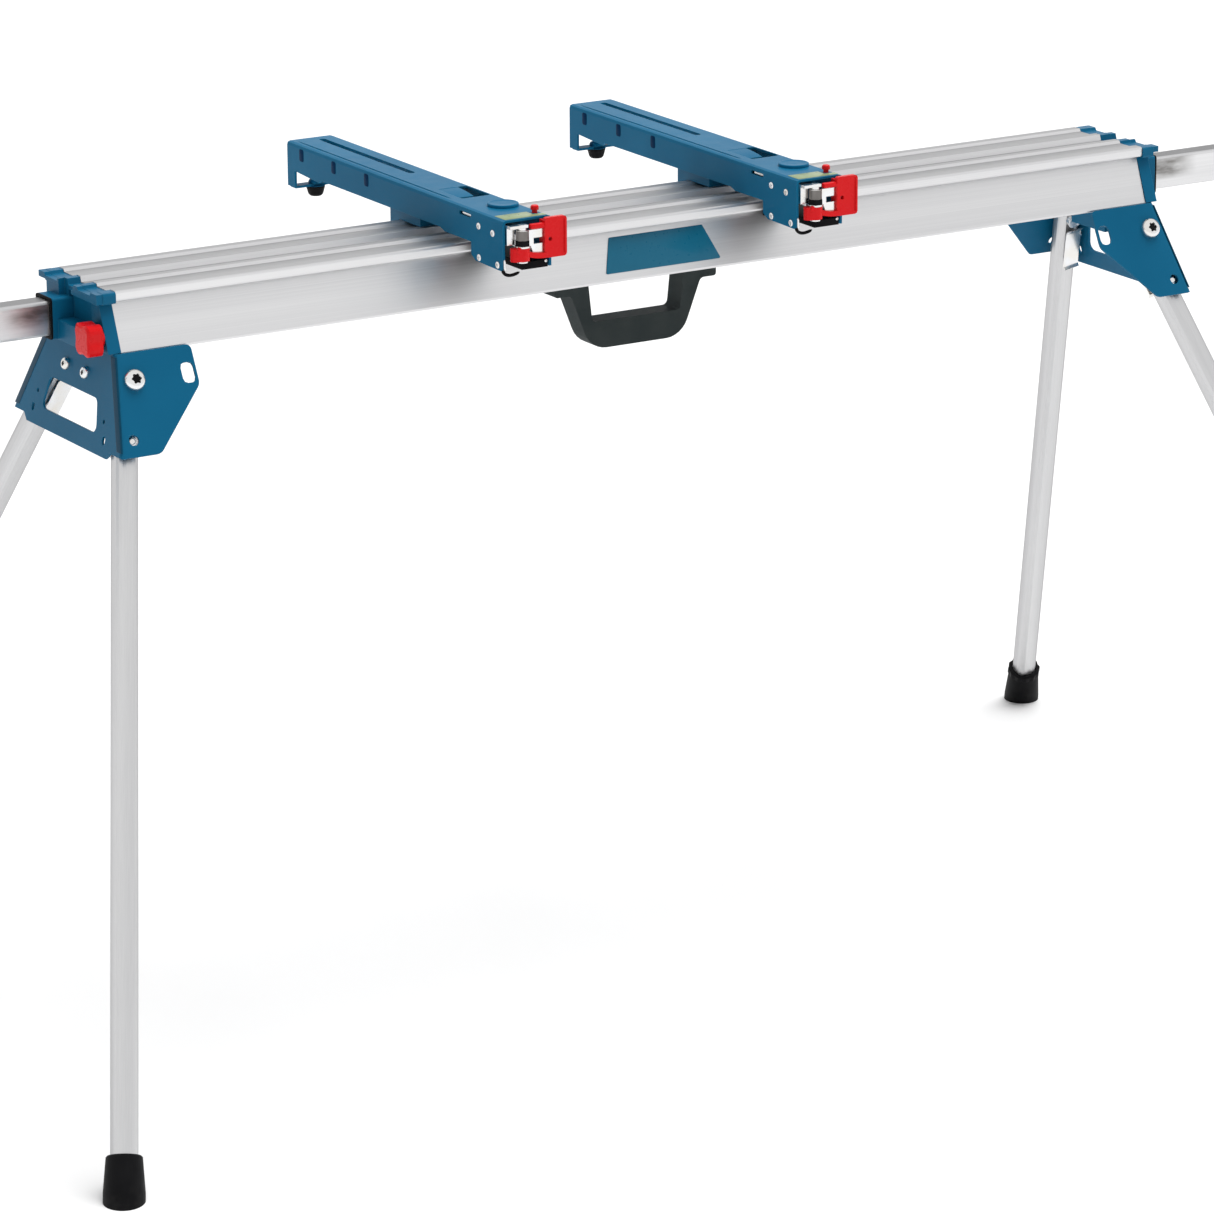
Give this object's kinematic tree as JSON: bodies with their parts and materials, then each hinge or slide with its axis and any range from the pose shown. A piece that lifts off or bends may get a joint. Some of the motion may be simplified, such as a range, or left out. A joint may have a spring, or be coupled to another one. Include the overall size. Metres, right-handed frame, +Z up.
{
  "type": "folding mitre saw stand",
  "caption": "Folding aluminium mitre saw stand: a long beam on splayed legs with clamp-on saw arms, sliding extension bars and a carry handle.",
  "frame": {"origin": "on the floor under the middle of the beam", "axes": "+X along the beam to the right of someone at the lever side, +Y from the levers to the back, +Z up"},
  "size_m": [2.0592, 0.886, 0.9],
  "materials": {
    "satin_aluminium": "drawn, satin anodised",
    "blue_powder_coat": "semi-gloss powder coat",
    "red_plastic": "moulded, slight gloss",
    "black_plastic": "moulded, fine grain",
    "dark_grey_plastic": "moulded, fine grain",
    "black_rubber": "matt",
    "plated_steel": "zinc plated"
  },
  "bodies": {
    "beam": {"beam_profile": "satin_aluminium", "carry_handle": "dark_grey_plastic", "end_cap_left": "blue_powder_coat", "end_cap_right": "blue_powder_coat", "bar_collar_left": "black_plastic", "bar_collar_right": "black_plastic", "leg_bracket_left": "blue_powder_coat", "leg_bracket_right": "blue_powder_coat", "mount_block_left": "blue_powder_coat", "mount_block_right": "blue_powder_coat", "pivot_bolt_front_left": "plated_steel", "pivot_bolt_front_right": "plated_steel", "pivot_bolt_rear_left": "plated_steel", "pivot_bolt_rear_right": "plated_steel"},
    "leg_front_left": {"leg_front_left": "satin_aluminium", "foot_front_left": "black_rubber"},
    "lock_front_left": {"lock_pin_front_left": "plated_steel", "pull_plate_front_left": "plated_steel"},
    "leg_front_right": {"leg_front_right": "satin_aluminium", "foot_front_right": "black_rubber"},
    "lock_front_right": {"lock_pin_front_right": "plated_steel", "pull_plate_front_right": "plated_steel"},
    "leg_rear_left": {"leg_rear_left": "satin_aluminium", "foot_rear_left": "black_rubber"},
    "lock_rear_left": {"lock_pin_rear_left": "plated_steel", "pull_plate_rear_left": "plated_steel"},
    "leg_rear_right": {"leg_rear_right": "satin_aluminium"},
    "lock_rear_right": {"lock_pin_rear_right": "plated_steel", "pull_plate_rear_right": "plated_steel"},
    "foot_rear_right": {"foot_rear_right": "black_rubber"},
    "bar_left": {"extension_bar_left": "satin_aluminium", "support_head_left": "blue_powder_coat"},
    "support_left": {"work_support_left": "blue_powder_coat"},
    "stop_left": {"flip_stop_left": "blue_powder_coat"},
    "knob_left": {"clamp_knob_left": "red_plastic"},
    "bar_right": {"extension_bar_right": "satin_aluminium", "support_head_right": "blue_powder_coat"},
    "support_right": {"work_support_right": "blue_powder_coat"},
    "stop_right": {"flip_stop_right": "blue_powder_coat"},
    "knob_right": {"clamp_knob_right": "red_plastic"},
    "arm_left": {"arm_channel_left": "blue_powder_coat", "rear_jaw_left": "blue_powder_coat", "arm_bumper_left": "black_rubber", "lever_pin_left": "plated_steel"},
    "lever_left": {"lever_cam_left": "plated_steel", "lever_grip_left": "red_plastic"},
    "jaw_left": {"front_jaw_left": "black_plastic"},
    "button_left": {"release_button_left": "red_plastic"},
    "arm_right": {"arm_channel_right": "blue_powder_coat", "rear_jaw_right": "blue_powder_coat", "arm_bumper_right": "black_rubber", "lever_pin_right": "plated_steel"},
    "lever_right": {"lever_cam_right": "plated_steel", "lever_grip_right": "red_plastic"},
    "jaw_right": {"front_jaw_right": "black_plastic"},
    "button_right": {"release_button_right": "red_plastic"}
  },
  "joints": [
    {"name": "leg_fold_front_left", "type": "hinge", "parent": "beam", "child": "leg_front_left", "pos_m": [-0.6145, -0.08787, 0.70475], "axis": [0, -0.891, 0.454], "range_deg": [0, 104.4]},
    {"name": "leg_lock_front_left", "type": "slide", "parent": "leg_front_left", "child": "lock_front_left", "axis": [0, -0.891, 0.454], "range_m": [0, 0.0035], "stiffness_N_per_m": 400, "springref_m": 0.0085},
    {"name": "leg_fold_front_right", "type": "hinge", "parent": "beam", "child": "leg_front_right", "pos_m": [0.6145, -0.08787, 0.70475], "axis": [0, 0.891, -0.454], "range_deg": [0, 99.4]},
    {"name": "leg_lock_front_right", "type": "slide", "parent": "leg_front_right", "child": "lock_front_right", "axis": [0, -0.891, 0.454], "range_m": [0, 0.0035], "stiffness_N_per_m": 400, "springref_m": 0.0085},
    {"name": "leg_fold_rear_left", "type": "hinge", "parent": "beam", "child": "leg_rear_left", "pos_m": [-0.6145, 0.08787, 0.70475], "axis": [0, -0.891, -0.454], "range_deg": [0, 99.4]},
    {"name": "leg_lock_rear_left", "type": "slide", "parent": "leg_rear_left", "child": "lock_rear_left", "axis": [0, 0.891, 0.454], "range_m": [0, 0.0035], "stiffness_N_per_m": 400, "springref_m": 0.0085},
    {"name": "leg_fold_rear_right", "type": "hinge", "parent": "beam", "child": "leg_rear_right", "pos_m": [0.6145, 0.08787, 0.70475], "axis": [0, 0.891, 0.454], "range_deg": [0, 104.4]},
    {"name": "leg_lock_rear_right", "type": "slide", "parent": "leg_rear_right", "child": "lock_rear_right", "axis": [0, 0.891, 0.454], "range_m": [0, 0.0035], "stiffness_N_per_m": 400, "springref_m": 0.0085},
    {"name": "foot_level_rear_right", "type": "slide", "parent": "leg_rear_right", "child": "foot_rear_right", "axis": [0.2487, 0.4397, -0.863], "range_m": [0, 0.012]},
    {"name": "bar_extend_left", "type": "slide", "parent": "beam", "child": "bar_left", "axis": [-1, 0, 0], "range_m": [-0.29, 0.28]},
    {"name": "support_lift_left", "type": "slide", "parent": "bar_left", "child": "support_left", "axis": [0, 0, 1], "range_m": [0, 0.06]},
    {"name": "stop_flip_left", "type": "hinge", "parent": "support_left", "child": "stop_left", "pos_m": [-1.0246, 0, 0.893], "axis": [0, 1, 0], "range_deg": [0, 180]},
    {"name": "knob_turn_left", "type": "hinge", "parent": "beam", "child": "knob_left", "pos_m": [-0.6346, -0.0575, 0.744], "axis": [-1, 0, 0], "range_deg": [0, 360]},
    {"name": "bar_extend_right", "type": "slide", "parent": "beam", "child": "bar_right", "axis": [1, 0, 0], "range_m": [-0.29, 0.28]},
    {"name": "support_lift_right", "type": "slide", "parent": "bar_right", "child": "support_right", "axis": [0, 0, 1], "range_m": [0, 0.06]},
    {"name": "stop_flip_right", "type": "hinge", "parent": "support_right", "child": "stop_right", "pos_m": [1.0246, 0, 0.893], "axis": [0, -1, 0], "range_deg": [0, 180]},
    {"name": "knob_turn_right", "type": "hinge", "parent": "beam", "child": "knob_right", "pos_m": [0.6346, 0.0575, 0.744], "axis": [1, 0, 0], "range_deg": [0, 360]},
    {"name": "arm_slide_left", "type": "slide", "parent": "beam", "child": "arm_left", "axis": [1, 0, 0], "range_m": [-0.34, 0.13]},
    {"name": "lever_swing_left", "type": "hinge", "parent": "arm_left", "child": "lever_left", "pos_m": [-0.215, -0.16, 0.83], "axis": [0, 0, -1], "range_deg": [0, 100]},
    {"name": "jaw_open_left", "type": "slide", "parent": "arm_left", "child": "jaw_left", "axis": [0, -1, 0], "range_m": [0, 0.0063]},
    {"name": "button_press_left", "type": "slide", "parent": "arm_left", "child": "button_left", "axis": [0, 0, -1], "range_m": [0, 0.0025], "stiffness_N_per_m": 300, "springref_m": -0.002},
    {"name": "arm_slide_right", "type": "slide", "parent": "beam", "child": "arm_right", "axis": [1, 0, 0], "range_m": [-0.13, 0.39]},
    {"name": "lever_swing_right", "type": "hinge", "parent": "arm_right", "child": "lever_right", "pos_m": [0.134, -0.16, 0.83], "axis": [0, 0, -1], "range_deg": [0, 100]},
    {"name": "jaw_open_right", "type": "slide", "parent": "arm_right", "child": "jaw_right", "axis": [0, -1, 0], "range_m": [0, 0.0063]},
    {"name": "button_press_right", "type": "slide", "parent": "arm_right", "child": "button_right", "axis": [0, 0, -1], "range_m": [0, 0.0025], "stiffness_N_per_m": 300, "springref_m": -0.002}
  ],
  "couplings": [
    {"joint": "jaw_open_left", "follows": "lever_swing_left", "m_per_rad": 0.0035},
    {"joint": "jaw_open_right", "follows": "lever_swing_right", "m_per_rad": 0.0035}
  ]
}
